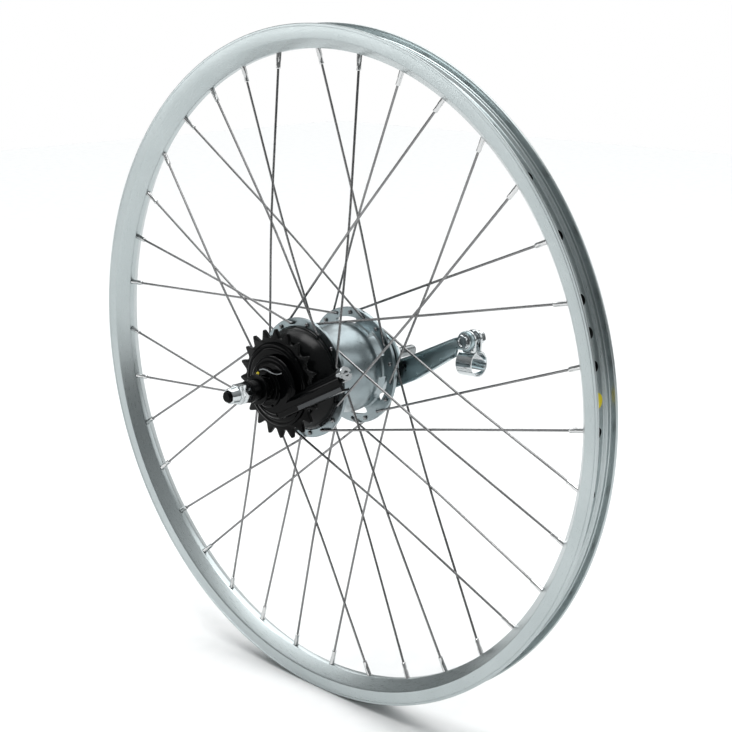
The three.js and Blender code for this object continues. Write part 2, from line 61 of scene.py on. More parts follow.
# Rim: radii of the section, from the inner edge out to the tyre hooks.
RIM_OUTER = 285.5
RIM_HALF_WIDTH = 12.5
RIM_APEX = 265.6
RIM_SHOULDER = 273.9
RIM_SEAT = 279.5
RIM_BED = 276.8
RIM_WALL = 1.4
WEAR_LINE = 283.2
RIM_SEGMENTS = 288
ACCESS_HOLE = 4.2
NIPPLE_HOLE = 2.4
VALVE_HOLE = 4.3
VALVE_ANGLE = 16.2
SEAM_ANGLE = VALVE_ANGLE + 180
STICKER_ANGLE = 6.1
STICKER_RADIUS = 5.7

# Spokes: each runs from its hub hole to a rim hole SPOKE_CROSS degrees on.
SPOKE_COUNT = 36
SPOKE_RADIUS = 1.0
SPOKE_PHASE = 1.2
SPOKE_CROSS = 60
SPOKE_CROSSING = 0.438
SPOKE_WEAVE = 1.0
SPOKE_CLEAR = 1.35
SPOKE_RISE = 1.9
HOLE_CIRCLE = 46.3
HOLE_RADIUS = 1.45
NIPPLE_BELOW = 13.0
NIPPLE_FLATS = 1.78
HEAD_GAP = 0.3

# Hub shell: the two flanges and the windows in the brake-side one.
FLANGE_RADIUS = 50.3
DRIVE_OUTER, DRIVE_INNER = -27.0, -24.0
BRAKE_INNER, BRAKE_OUTER = 31.0, 34.5
WINDOW_COUNT, WINDOW_FIRST, WINDOW_SPAN = 6, -81, 36
WINDOW_LOW, WINDOW_HIGH = 36.5, 42.5

# Sprocket, and the axle with its thread and flats.
SPROCKET_TEETH, SPROCKET_ROOT, SPROCKET_TIP = 20, 38.2, 45.6
SPROCKET_PHASE = 3
AXLE_RADIUS, AXLE_HALF, AXLE_FLAT, FLAT_START = 4.75, 109.5, 4.2, 62
AXLE_TIP_RADIUS = 3.7
AXLE_BORE = AXLE_RADIUS + 0.45
AXLE_BREAK = 64
THREAD_PITCH = 1.0
THREAD_DEPTH = 0.32
THREAD_START = 44
TIP_FLAT_LENGTH = 10

# Brake arm and chain-stay clip; the arm's edges are runs of (x, z) corners.
BOLT_X, BOLT_Z = 103.0, 33.6
BOLT_HOLE = 3.3
HEX_FLATS = 5.02
ARM_LOWER = [(10, -28.3), (52.7, -7.4), (92, 18)]
ARM_UPPER = [(20, 0.5), (48.4, 12.9), (94.6, 35.2)]
CLIP_X, CLIP_Y, CLIP_Z, CLIP_TILT = 103.5, 66.5, 13.9, -3
CLIP_LENGTH, CLIP_INNER, CLIP_OUTER = 16.4, 9.3, 10.8
EAR_NEAR, EAR_FAR, EAR_THICK = 62, 69, 2

# Shift joint: its cover sits off the axle's middle, and the cable stop lies along its arm.
JOINT_X = 5.0
JOINT_ARM_ANGLE, JOINT_FOOT = 27.4, (18, -22.6)
STOP_START, STOP_END, STOP_ANGLE = (43, -59.4, 4), (84, -59.4, 25.6), 28
STOP_NECK = 0.86

# Camera: angles in degrees, then its distance and its target's shift in millimetres.
CAMERA_AZIMUTH, CAMERA_ELEVATION, CAMERA_DISTANCE = 44.047, 14.625, 1217.5
CAMERA_RIGHT, CAMERA_UP = 34.13, 4.885
CAMERA_LENS = 71.317

# Studio, in metres: the sky is (height, brightness), from the horizon to straight overhead.
FLOOR_HALF = 4
SKY = ((0.0, 0.28), (0.14, 0.34), (0.5, 0.6), (1.0, 0.85))
SKY_STRENGTH = 0.55
SKY_LIGHT_POWER = 2.6
SKY_LIGHT_ANGLE = 80
SKY_LIGHT_FROM = (-0.3, 0.3, 0.9)
AREA_LIGHTS = (  # name, place, point aimed at, size, watts
    ("top_light", (-0.15, -0.4, 1.4), (-0.15, -0.4, 0), (0.9, 0.7), 9),
    ("wall_light", (-2.5, -2.5, 0.18), (0, 0, 0.1), (1.9, 0.45), 8),
    ("side_light", (1.9, 2.5, 1.2), (0, 0, 0), (2.4, 1.6), 13),
)


# ---- small geometry helpers ----
def polar(radius, degrees):
    """The (x, z) of a point at an angle about the wheel axis."""
    turn = math.radians(degrees)
    return radius * math.cos(turn), radius * math.sin(turn)


def at(radius, degrees, y):
    """The point at a radius, an angle about the wheel axis and a place along it."""
    x, z = polar(radius, degrees)
    return Vector((x, y, z))


def circle(radius, sides, start=0.0, cx=0.0, cz=0.0):
    """Points of a regular polygon in the XZ plane."""
    points = []
    for i in range(sides):
        x, z = polar(radius, start + 360 * i / sides)
        points.append((cx + x, cz + z))
    return points


def from_bmesh(name, bm):
    """A linked object from a bmesh in millimetres, with its faces turned outwards."""
    bmesh.ops.remove_doubles(bm, verts=bm.verts, dist=1e-4)
    bmesh.ops.recalc_face_normals(bm, faces=bm.faces)
    mesh = bpy.data.meshes.new(name)
    bm.to_mesh(mesh)
    bm.free()
    mesh.transform(Matrix.Scale(MM, 4))
    obj = bpy.data.objects.new(name, mesh)
    bpy.context.scene.collection.objects.link(obj)
    return obj


def rings_to_bmesh(rings, close_rings=True, capped=False):
    """Joins rings of the same number of points with quads."""
    bm = bmesh.new()
    rows = [[bm.verts.new(point) for point in ring] for ring in rings]
    count = len(rows[0])
    last = len(rows) if close_rings else len(rows) - 1
    for i in range(last):
        a, b = rows[i], rows[(i + 1) % len(rows)]
        for j in range(count):
            k = (j + 1) % count
            bm.faces.new((a[j], a[k], b[k], b[j]))
    if capped:
        bm.faces.new(rows[0])
        bm.faces.new(rows[-1])
    return bm


def lathe(name, profile, segments=96):
    """A ring about the wheel axis from a closed profile of (radius, y) points."""
    rings = []
    for i in range(segments):
        rings.append([at(radius, 360 * i / segments, y) for radius, y in profile])
    return from_bmesh(name, rings_to_bmesh(rings))


def rounded(points, radius, steps=4, closed=True):
    """The outline with each corner rounded by a short curve, set back by at most the radius."""
    result = []
    count = len(points)
    for i, corner in enumerate(points):
        corner = Vector(corner)
        if not closed and i in (0, count - 1):
            result.append(tuple(corner))
            continue
        before = Vector(points[i - 1]) - corner
        after = Vector(points[(i + 1) % count]) - corner
        back = min(radius, before.length * 0.45, after.length * 0.45)
        start = corner + before.normalized() * back
        end = corner + after.normalized() * back
        for step in range(steps + 1):
            t = step / steps
            point = start * (1 - t) ** 2 + corner * 2 * t * (1 - t) + end * t**2
            result.append(tuple(point))
    return result


def plate(name, outline, y0, y1, holes=(), bevel=0.25):
    """A flat plate in the XZ plane from y0 to y1, with holes and softened edges."""
    curve = bpy.data.curves.new(name, "CURVE")
    curve.dimensions = "2D"
    curve.fill_mode = "BOTH"
    half = (y1 - y0) / 2
    curve.extrude = (half - bevel) * MM
    curve.bevel_depth = bevel * MM
    curve.offset = -bevel * MM
    curve.bevel_resolution = 1
    for points in (outline, *holes):
        spline = curve.splines.new("POLY")
        spline.points.add(len(points) - 1)
        for target, (x, z) in zip(spline.points, points):
            target.co = (x * MM, z * MM, 0, 1)
        spline.use_cyclic_u = True
    flat = bpy.data.objects.new(name, curve)
    bpy.context.scene.collection.objects.link(flat)
    obj = baked(flat, name)
    obj.data.transform(Matrix.Rotation(math.radians(90), 4, "X"))
    obj.data.transform(Matrix.Translation((0, (y0 + y1) / 2 * MM, 0)))
    weld(obj)
    return obj


def weld(obj):
    """Merges vertices closer than 2 micrometres and turns the faces outwards."""
    bm = bmesh.new()
    bm.from_mesh(obj.data)
    bmesh.ops.remove_doubles(bm, verts=bm.verts, dist=2e-6)
    bmesh.ops.recalc_face_normals(bm, faces=bm.faces)
    bm.to_mesh(obj.data)
    bm.free()


def baked(obj, name):
    """The object's evaluated shape as a plain mesh object, which takes the object's place."""
    bpy.context.view_layer.update()
    evaluated = obj.evaluated_get(bpy.context.evaluated_depsgraph_get())
    mesh = bpy.data.meshes.new_from_object(evaluated)
    bpy.data.objects.remove(obj)
    result = bpy.data.objects.new(name, mesh)
    result.name = name
    bpy.context.scene.collection.objects.link(result)
    return result


def join(name, *objects):
    """One object of all the given objects' faces."""
    bm = bmesh.new()
    for obj in objects:
        bm.from_mesh(obj.data)
        bpy.data.objects.remove(obj)
    mesh = bpy.data.meshes.new(name)
    bm.to_mesh(mesh)
    bm.free()
    result = bpy.data.objects.new(name, mesh)
    bpy.context.scene.collection.objects.link(result)
    return result


def boolean(obj, cutters, operation="DIFFERENCE"):
    """The object cut by, or cut down to, the cutters, which are used up."""
    name = obj.name
    tool = cutters[0] if len(cutters) == 1 else join(name + "_tool", *cutters)
    modifier = obj.modifiers.new("cut", "BOOLEAN")
    modifier.operation = operation
    modifier.solver = "EXACT"
    modifier.use_self = True
    modifier.object = tool
    result = baked(obj, name)
    bpy.data.objects.remove(tool)
    return result


def bevelled(obj, width):
    """The object with its sharp edges rounded."""
    modifier = obj.modifiers.new("edges", "BEVEL")
    modifier.width = width * MM
    modifier.segments = 2
    modifier.limit_method = "ANGLE"
    modifier.angle_limit = math.radians(35)
    modifier.use_clamp_overlap = True
    return baked(obj, obj.name)


def rod(name, start, end, radius, sides=32):
    """A straight round bar between two points."""
    start, end = Vector(start), Vector(end)
    axis = (end - start).normalized()
    side = axis.orthogonal().normalized()
    up = axis.cross(side)
    rings = []
    for centre in (start, end):
        ring = []
        for i in range(sides):
            c, s = polar(radius, 360 * i / sides)
            ring.append(centre + side * c + up * s)
        rings.append(ring)
    return from_bmesh(name, rings_to_bmesh(rings, close_rings=False, capped=True))


def turned_on(name, start, direction, profile, sides=24, shape=None):
    """A body of revolution on any axis, from (distance, radius) pairs; shape may trim the radius."""
    start, axis = Vector(start), Vector(direction).normalized()
    side = axis.orthogonal().normalized()
    up = axis.cross(side)
    rings = []
    for distance, radius in profile:
        ring = []
        for i in range(sides):
            turn = 360 * i / sides
            size = shape(distance, radius, turn) if shape else radius
            c, s = polar(size, turn)
            ring.append(start + axis * distance + side * c + up * s)
        rings.append(ring)
    return from_bmesh(name, rings_to_bmesh(rings, close_rings=False, capped=True))


def sweep(name, path, radius, sides=12):
    """A round wire along a path of points, with its section carried along without twisting."""
    path = [Vector(point) for point in path]
    tangents = []
    for i in range(len(path)):
        ahead = path[min(i + 1, len(path) - 1)] - path[max(i - 1, 0)]
        tangents.append(ahead.normalized())
    normal = tangents[0].orthogonal().normalized()
    rings = []
    for point, tangent in zip(path, tangents):
        normal = (normal - tangent * normal.dot(tangent)).normalized()
        other = tangent.cross(normal)
        ring = []
        for i in range(sides):
            c, s = polar(radius, 360 * i / sides)
            ring.append(point + normal * c + other * s)
        rings.append(ring)
    return from_bmesh(name, rings_to_bmesh(rings, close_rings=False, capped=True))


def block(name, x, y, z, turn=0.0):
    """A box, turned about the wheel axis from +X towards +Z."""
    bm = bmesh.new()
    corners = [bm.verts.new((a, b, c)) for a in x for b in y for c in z]
    for face in ((0, 1, 3, 2), (4, 6, 7, 5), (0, 4, 5, 1), (2, 3, 7, 6), (0, 2, 6, 4), (1, 5, 7, 3)):
        bm.faces.new([corners[i] for i in face])
    bmesh.ops.rotate(bm, verts=bm.verts, matrix=Matrix.Rotation(-math.radians(turn), 3, "Y"))
    return from_bmesh(name, bm)


# ---- materials ----
def new_material(name):
    """A node material, with its nodes, links and main shader."""
    material = bpy.data.materials.new(name)
    material.use_nodes = True
    nodes = material.node_tree.nodes
    links = material.node_tree.links
    shader = nodes["Principled BSDF"]
    return material, nodes, links, shader


def position_node(nodes, links, turned):
    """Object coordinates, or for turned pieces (radius, y, angle) about the wheel axis."""
    coordinates = nodes.new("ShaderNodeTexCoord")
    if not turned:
        return coordinates.outputs["Object"]
    split = nodes.new("ShaderNodeSeparateXYZ")
    links.new(coordinates.outputs["Object"], split.inputs[0])
    angle = nodes.new("ShaderNodeMath")
    angle.operation = "ARCTAN2"
    links.new(split.outputs["Z"], angle.inputs[0])
    links.new(split.outputs["X"], angle.inputs[1])
    radius = nodes.new("ShaderNodeVectorMath")
    radius.operation = "LENGTH"
    flat = nodes.new("ShaderNodeCombineXYZ")
    links.new(split.outputs["X"], flat.inputs["X"])
    links.new(split.outputs["Z"], flat.inputs["Z"])
    links.new(flat.outputs[0], radius.inputs[0])
    joined = nodes.new("ShaderNodeCombineXYZ")
    links.new(radius.outputs["Value"], joined.inputs["X"])
    links.new(split.outputs["Y"], joined.inputs["Y"])
    links.new(angle.outputs[0], joined.inputs["Z"])
    return joined.outputs[0]


def noise_node(nodes, links, position, stretch, scale, detail=4.0):
    mapping = nodes.new("ShaderNodeMapping")
    mapping.inputs["Scale"].default_value = stretch
    links.new(position, mapping.inputs["Vector"])
    noise = nodes.new("ShaderNodeTexNoise")
    noise.inputs["Scale"].default_value = scale
    noise.inputs["Detail"].default_value = detail
    links.new(mapping.outputs["Vector"], noise.inputs["Vector"])
    return noise.outputs["Fac"]


def spread(nodes, links, value, low, high):
    """Stretches the middle of a noise over a range."""
    ranged = nodes.new("ShaderNodeMapRange")
    ranged.inputs["From Min"].default_value = 0.3
    ranged.inputs["From Max"].default_value = 0.7
    ranged.inputs["To Min"].default_value = low
    ranged.inputs["To Max"].default_value = high
    links.new(value, ranged.inputs["Value"])
    return ranged.outputs["Result"]


def mix_colours(nodes, links, factor, first, second):
    mix = nodes.new("ShaderNodeMix")
    mix.data_type = "RGBA"
    mix.inputs["A"].default_value = (*first, 1)
    mix.inputs["B"].default_value = (*second, 1)
    links.new(factor, mix.inputs["Factor"])
    return mix.outputs["Result"]


def surface(name, first, second, roughness, metallic, grain, stretch=(1, 1, 1), turned=False,
            bump=0.02, blotch=18.0, specular=0.5):
    """A worn surface: broad blotches vary the colour, fine grain varies the roughness and the bump."""
    material, nodes, links, shader = new_material(name)
    position = position_node(nodes, links, turned)
    broad = noise_node(nodes, links, coordinates_of(nodes), (1, 1, 1), blotch, 3.0)
    fine = noise_node(nodes, links, position, stretch, grain)
    colour = mix_colours(nodes, links, spread(nodes, links, broad, 0, 1), first, second)
    links.new(colour, shader.inputs["Base Color"])
    links.new(spread(nodes, links, fine, *roughness), shader.inputs["Roughness"])
    shader.inputs["Metallic"].default_value = metallic
    shader.inputs["Specular IOR Level"].default_value = specular
    relief = nodes.new("ShaderNodeBump")
    relief.inputs["Strength"].default_value = bump
    relief.inputs["Distance"].default_value = 0.0004
    links.new(fine, relief.inputs["Height"])
    links.new(relief.outputs["Normal"], shader.inputs["Normal"])
    return material


def coordinates_of(nodes):
    """The object's own coordinates, which stay with it as it moves."""
    return nodes.new("ShaderNodeTexCoord").outputs["Object"]


MATERIALS = {
    "rim": surface("rim_anodised", (0.42, 0.465, 0.47), (0.465, 0.51, 0.515), (0.26, 0.34), 1.0, 60,
                   stretch=(60, 60, 0.6), turned=True, bump=0.015),
    # Near-black metal for the inside of the rim's cavity and its access and valve hole walls: painted shade
    # in these recesses.
    "rim_hollow_painted_shade": surface("rim_inside_painted_shade", (0.03, 0.032, 0.032), (0.06, 0.062, 0.062), (0.5, 0.7),
                          1.0, 80),
    "spoke": surface("spoke_wire", (0.17, 0.17, 0.172), (0.27, 0.27, 0.272), (0.18, 0.34), 1.0, 900,
                     bump=0.03),
    "nipple": surface("nipple_nickel", (0.55, 0.56, 0.56), (0.66, 0.66, 0.66), (0.08, 0.2), 1.0, 700),
    "shell": surface("shell_polished", (0.25, 0.3, 0.315), (0.31, 0.355, 0.37), (0.26, 0.36), 1.0, 40,
                     stretch=(50, 50, 0.7), turned=True, bump=0.02, blotch=12),
    "chrome": surface("chrome_plate", (0.52, 0.55, 0.56), (0.62, 0.65, 0.66), (0.04, 0.12), 1.0, 500,
                      bump=0.01),
    "steel": surface("machined_steel", (0.2, 0.215, 0.22), (0.29, 0.305, 0.31), (0.16, 0.3), 1.0, 40,
                     stretch=(40, 40, 1), turned=True, bump=0.05),
    "black_steel": surface("black_oxide", (0.001, 0.0011, 0.0012), (0.003, 0.0032, 0.0034), (0.12, 0.22),
                           0.0, 400, bump=0.05, specular=0.07),
    "black_plastic": surface("black_gloss", (0.0006, 0.0007, 0.0008), (0.0018, 0.002, 0.0022),
                             (0.06, 0.14), 0.0, 300, bump=0.03, specular=0.07),
    # Lighter satin black for the bracket's lower facet: the satin roughness is a finish, and the lighter
    # colour is painted sheen on the lit face of the glossy black part.
    "black_satin_painted_sheen": surface("black_facet_painted_sheen", (0.03, 0.034, 0.037), (0.045, 0.05, 0.054),
                           (0.3, 0.42), 0.0, 300, bump=0.05, specular=0.3),
    "dome": surface("dome_satin_black", (0.001, 0.0013, 0.0014), (0.003, 0.0034, 0.0036), (0.16, 0.26), 0.0,
                    30, stretch=(40, 40, 0.8), turned=True, bump=0.06, specular=0.16),
    "brake_steel": surface("blued_steel", (0.3, 0.38, 0.4), (0.42, 0.51, 0.53), (0.24, 0.38),
                           1.0, 120, bump=0.05),
    "yellow": surface("yellow_paint", (0.72, 0.58, 0.01), (0.85, 0.7, 0.03), (0.3, 0.5), 0.0, 500),
}


def finish_piece(obj, body, slot, replaces=(), material=None, smooth=32):
    """Gives a piece its material, which is its slot's unless another is named, smooth shading and body, and
    hides the CAD nodes it replaces.
    """
    if not obj.data.materials:
        obj.data.materials.append(MATERIALS[material or slot])
    obj.data.shade_smooth()
    obj.data.set_sharp_from_angle(angle=math.radians(smooth))
    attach(obj, body)
    if replaces:
        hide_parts(*replaces)


# ---- rim ----
def rim_outline(half):
    """A closed section from its half on the +Y side, listed from the inner edge outwards."""
    return half + [(radius, -y) for radius, y in reversed(half)]


def mark_faces(obj, index):
    """Gives every face of a cutter the material slot that its cut will show."""
    for polygon in obj.data.polygons:
        polygon.material_index = index
    return obj


def make_rim():
    """A hollow double-wall extrusion with spoke, access and valve holes, and the sticker in its channel."""
    w = RIM_HALF_WIDTH
    inner = w - 1.6
    section = rim_outline([
        (RIM_APEX, 1.9), (RIM_APEX + 0.1, 2.4), (RIM_APEX + 0.5, 3.0),
        (RIM_SHOULDER - 0.9, w - 1.2), (RIM_SHOULDER - 0.4, w - 0.6), (RIM_SHOULDER + 0.2, w - 0.15),
        (RIM_SHOULDER + 0.9, w), (WEAR_LINE - 0.3, w), (WEAR_LINE - 0.15, w - 0.25),
        (WEAR_LINE + 0.15, w - 0.25), (WEAR_LINE + 0.3, w), (RIM_OUTER - 0.5, w),
        (RIM_OUTER - 0.12, w - 0.2), (RIM_OUTER, w - 0.6), (RIM_OUTER, w - 1.3),
        (RIM_OUTER - 0.2, w - 1.8), (RIM_OUTER - 0.8, w - 2.1), (RIM_OUTER - 1.6, w - 2.1),
        (RIM_OUTER - 2.4, w - 1.7), (RIM_SEAT + 0.6, inner), (RIM_SEAT + 0.1, inner - 0.4),
        (RIM_SEAT, inner - 0.9), (RIM_SEAT, 8.3), (RIM_SEAT - 0.3, 7.8), (RIM_BED + 0.3, 6.6),
        (RIM_BED, 6.1),
    ])
    cavity = rim_outline([
        (RIM_APEX + RIM_WALL, 2.2), (RIM_SHOULDER + 0.5, w - 1.8), (RIM_SEAT - RIM_WALL, w - 1.8),
        (RIM_SEAT - RIM_WALL, 8), (RIM_BED - RIM_WALL, 5.8),
    ])
    body = lathe("rim_body", section, RIM_SEGMENTS)
    body.data.materials.append(MATERIALS["rim"])
    body.data.materials.append(MATERIALS["rim_hollow_painted_shade"])
    hollow = lathe("rim_hollow_painted_shade", cavity, RIM_SEGMENTS)
    # Slot 1, the near-black one, goes on the cavity and on the access and valve hole walls: painted shade
    # in the rim's recesses.
    tools = [mark_faces(hollow, 1)]
    inside = RIM_APEX - 2
    for k in range(SPOKE_COUNT):
        angle = SPOKE_PHASE + 360 * k / SPOKE_COUNT
        access = rod("access", at(RIM_APEX + 4, angle, 0), at(278, angle, 0), ACCESS_HOLE, 24)
        tools.append(mark_faces(access, 1))
        tools.append(rod("seat", at(inside, angle, 0), at(RIM_APEX + 3.4, angle, 0), NIPPLE_HOLE, 14))
    valve = rod("valve", at(inside, VALVE_ANGLE, 0), at(279, VALVE_ANGLE, 0), VALVE_HOLE, 24)
    tools.append(mark_faces(valve, 1))
    for side in (-1, 1):
        depth = sorted((side * (w - 0.15), side * (w + 0.5)))
        tools.append(block("seam", (RIM_APEX - 1, RIM_OUTER + 1), depth, (-0.09, 0.09), SEAM_ANGLE))
    rim = boolean(body, tools)
    rim.name = "rim_extrusion"
    finish_piece(rim, "wheel", "rim", ["rim"], smooth=24)
    sticker = turned_on(
        "channel_sticker", at(RIM_BED, STICKER_ANGLE, 0), at(1, STICKER_ANGLE, 0),
        [(-0.05, STICKER_RADIUS), (0.12, STICKER_RADIUS), (0.16, STICKER_RADIUS - 0.2)], 48,
    )
    finish_piece(sticker, "wheel", "rim", material="yellow")


# ---- spokes ----
def spoke_points(side, lean, rim_angle, shaft, head, other):
    """The wire's corner points: head, elbow, crossing and the end inside the nipple."""
    hub_angle = rim_angle - lean * SPOKE_CROSS
    rim_point = at(RIM_APEX, rim_angle, 0)
    crossing = at(HOLE_CIRCLE, hub_angle, (shaft + other) / 2).lerp(rim_point, SPOKE_CROSSING)
    outboard = abs(shaft) > abs(other)
    crossing.y -= side * SPOKE_WEAVE * (1 if outboard else -1)
    direction = (rim_point - crossing).normalized()
    start = at(HOLE_CIRCLE, hub_angle, head)
    elbow = at(HOLE_CIRCLE, hub_angle, shaft)
    return start, elbow, crossing, rim_point, direction


def make_spoke(name, side, lean, rim_angle, shaft, head, other, replaced):
    """One bent wire with its head, and the nipple that holds it in the rim."""
    start, elbow, crossing, rim_point, direction = spoke_points(side, lean, rim_angle, shaft, head, other)
    end = rim_point - direction * (NIPPLE_BELOW - 4)
    corners = [tuple(point) for point in (start, elbow, crossing, end)]
    bent = rounded(corners[:3], 2.2, 8, closed=False)[:-1]
    eased = rounded([corners[1], corners[2], corners[3]], 30, 6, closed=False)[1:]
    wire = sweep("wire", bent + eased, SPOKE_RADIUS)
    away = Vector((0, math.copysign(1, head - shaft), 0))
    cap = turned_on(
        "cap", start - away * 0.2, away,
        [(0, 1.0), (0.25, 1.6), (0.6, 1.85), (1.0, 1.75), (1.4, 1.3), (1.6, 0.6)], 18,
    )
    finish_piece(join(name, wire, cap), "wheel", "spoke", [replaced], smooth=50)

    def square(distance, radius, turn):
        if not 1.4 < distance < 6.6:
            return radius
        nearest = abs((turn + 45) % 90 - 45)
        return min(radius, NIPPLE_FLATS / math.cos(math.radians(nearest)))

    nipple = turned_on(
        name.replace("spoke", "nipple"), rim_point - direction * NIPPLE_BELOW, direction,
        [(0, 1.25), (0.15, 1.6), (0.7, 1.9), (1.5, 2.0), (6.5, 2.0), (7.0, 2.0), (14.6, 2.1),
         (15.1, 2.8), (16.4, 3.0), (17.2, 2.7), (17.6, 1.8)],
        24, square,
    )
    finish_piece(nipple, "wheel", "spoke", [replaced], material="nipple", smooth=25)


def make_spokes():
    """Both sides' spokes: half of each side leave the flange outwards, half inwards."""
    pitch = 4 * 360 / SPOKE_COUNT
    rise = SPOKE_CLEAR + SPOKE_RISE
    sides = (
        ("drive", -1, 0.0, DRIVE_OUTER, DRIVE_INNER),
        ("brake", 1, 0.25, BRAKE_OUTER, BRAKE_INNER),
    )
    for label, side, offset, outer, inner in sides:
        outboard = outer + side * rise
        inboard = inner - side * SPOKE_CLEAR
        from_inside = (inboard, outer + side * HEAD_GAP, outboard)
        from_outside = (outboard, inner - side * HEAD_GAP, inboard)
        forward, backward = (from_outside, from_inside) if side < 0 else (from_inside, from_outside)
        for k in range(SPOKE_COUNT // 4):
            angle = SPOKE_PHASE + pitch * (k + offset)
            pair = f"spoke_pair_{label}_{k + 1}"
            make_spoke(f"spoke_{label}_{k + 1}a", side, 1, angle, *forward, pair)
            make_spoke(f"spoke_{label}_{k + 1}b", side, -1, angle - pitch / 2, *backward, pair)


# ---- hub shell ----
def window_outline(centre):
    half = WINDOW_SPAN / 2
    points = [polar(WINDOW_HIGH, centre + half * share) for share in (-1, -0.6, -0.2, 0.2, 0.6, 1)]
    points += [polar(WINDOW_LOW, centre + half * share) for share in (0.9, 0.5, 0, -0.5, -0.9)]
    return rounded(points, 2.4, 4)


def make_shell():
    """The barrel with its two drilled flanges; six windows lighten the brake-side one."""
    rim, edge = FLANGE_RADIUS, FLANGE_RADIUS - 0.4
    profile = [
        (34.9, DRIVE_OUTER), (edge, DRIVE_OUTER), (rim, DRIVE_OUTER + 0.4),
        (rim, DRIVE_INNER - 0.4), (edge, DRIVE_INNER), (44.5, DRIVE_INNER),
        (42.2, -23.4), (40.4, -21.8), (39.0, -19.2), (37.8, -15.0), (36.8, -10.0), (36.3, -5.0),
        (36.1, 0.0), (36.1, 6.0), (36.5, 10.0), (37.4, 13.6), (38.1, 17.0), (38.4, 20.5), (38.2, 24.0),
        (37.5, 26.8), (36.9, 28.6), (37.3, 30.2),
        (38.6, BRAKE_INNER), (rim - 0.5, BRAKE_INNER), (rim, BRAKE_INNER + 0.5),
        (rim, BRAKE_OUTER - 0.5), (rim - 0.5, BRAKE_OUTER), (38.5, BRAKE_OUTER),
        (36.2, 35.2), (34.2, 37.4), (32.4, 40.6), (31.0, 44.6), (30.6, 47.5), (30.5, 49.6), (30.1, 50.0),
        (21.2, 50.0), (21.2, 41.2), (32.6, 31.0), (32.8, 30.0), (32.8, 10.5), (31.4, 10.5),
        (31.4, -19.5), (34.9, -19.5),
    ]
    body = lathe("shell_body", profile, 180)
    tools = []
    pitch = 360 / (SPOKE_COUNT // 2)
    drive_middle, brake_middle = (DRIVE_OUTER + DRIVE_INNER) / 2, (BRAKE_OUTER + BRAKE_INNER) / 2
    for k in range(SPOKE_COUNT // 2):
        angle = SPOKE_PHASE + pitch * k
        for y, turn in ((drive_middle, angle), (brake_middle, angle + pitch / 2)):
            x, z = polar(HOLE_CIRCLE, turn)
            tools.append(rod("hole", (x, y - 3, z), (x, y + 3, z), HOLE_RADIUS, 20))
    shell = boolean(body, tools)
    windows = []
    for k in range(WINDOW_COUNT):
        outline = window_outline(WINDOW_FIRST + 360 * k / WINDOW_COUNT)
        windows.append(plate("window", outline, 26, 37.5, bevel=0.01))
    shell = boolean(shell, windows)
    shell.name = "hub_shell_polished"
    finish_piece(shell, "wheel", "shell", ["hub_shell"], smooth=30)


def make_dome():
    """The black cover of the drive-side bearing, with six notches in its step."""
    profile = [
        (43.8, -27.3), (43.9, -28.4), (43.4, -29.0), (43.3, -30.2), (42.8, -32.0), (41.2, -35.0),
        (39.2, -37.8), (36.6, -40.4), (33.4, -42.7), (30.4, -44.3), (29.9, -44.0), (29.2, -44.2),
        (28.8, -45.0), (25.5, -46.9), (22.4, -48.2), (20.0, -48.5), (17.9, -48.5), (17.6, -48.2),
        (17.6, -46.2), (21.5, -46.0), (30.0, -42.2), (36.0, -38.0), (39.5, -33.0), (40.4, -30.0),
        (32.0, -30.0), (32.0, -19.8), (34.5, -19.8), (34.5, -27.3),
    ]
    dome = lathe("dome_body", profile, 144)
    notches = []
    for k in range(6):
        notches.append(block("notch", (31.0, 35.5), (-48, -42.2), (-2.2, 2.2), 60 * k + 20))
    dome = boolean(dome, notches)
    dome.name = "drive_side_dome"
    finish_piece(dome, "wheel", "black_plastic", ["drive_ball_cup"], material="dome")


def make_brake_cap():
    profile = [
        (15.0, 50.4), (30.2, 50.4), (30.5, 50.8), (30.4, 52.0), (29.4, 53.4), (27.5, 54.4), (24.5, 55.1),
        (20.0, 55.5), (15.4, 55.6), (15.0, 55.2),
    ]
    finish_piece(lathe("brake_side_cap", profile), "wheel", "black_steel", ["brake_dust_cap"])


# ---- sprocket and driver ----
def sprocket_outline():
    """One tooth's points, repeated round the sprocket; each share is a part of the pitch."""
    pitch = 360 / SPROCKET_TEETH
    points = []
    for k in range(SPROCKET_TEETH):
        centre = SPROCKET_PHASE + pitch * k
        for share, radius in (
            (-0.5, SPROCKET_ROOT), (-0.42, SPROCKET_ROOT + 0.15), (-0.34, SPROCKET_ROOT + 0.8),
            (-0.27, SPROCKET_ROOT + 2.2), (-0.17, SPROCKET_ROOT + 4.6), (-0.07, SPROCKET_TIP - 0.4),
            (0, SPROCKET_TIP), (0.07, SPROCKET_TIP - 0.4), (0.17, SPROCKET_ROOT + 4.6),
            (0.27, SPROCKET_ROOT + 2.2), (0.34, SPROCKET_ROOT + 0.8), (0.42, SPROCKET_ROOT + 0.15),
        ):
            points.append(polar(radius, centre + share * pitch))
    return points


def make_sprocket():
    body = plate("sprocket_20t", sprocket_outline(), -54.4, -51.4, [circle(17.3, 72)], bevel=0.45)
    finish_piece(body, "driver", "black_steel", ["sprocket"])
    cover = lathe("dust_cover_stepped", [
        (17.5, -54.8), (34.6, -54.8), (35.0, -55.2), (34.8, -56.2), (34.0, -56.8), (32.8, -57.0),
        (32.4, -56.5), (31.6, -56.4), (31.0, -56.8), (29.6, -57.2), (24.0, -57.3), (23.4, -56.8),
        (20.0, -56.7), (19.8, -56.6), (17.5, -56.5),
    ], 120)
    finish_piece(cover, "driver", "black_plastic", ["sprocket_dust_cover"])
    ring = boolean(
        lathe("snap_ring_body", [(16.0, -58.1), (19.4, -58.1), (19.4, -57.5), (16.0, -57.5)], 72),
        [block("gap", (10, 25), (-60, -50), (-3, 3))],
    )
    ring.name = "snap_ring"
    finish_piece(ring, "driver", "steel", ["sprocket_snap_ring"])


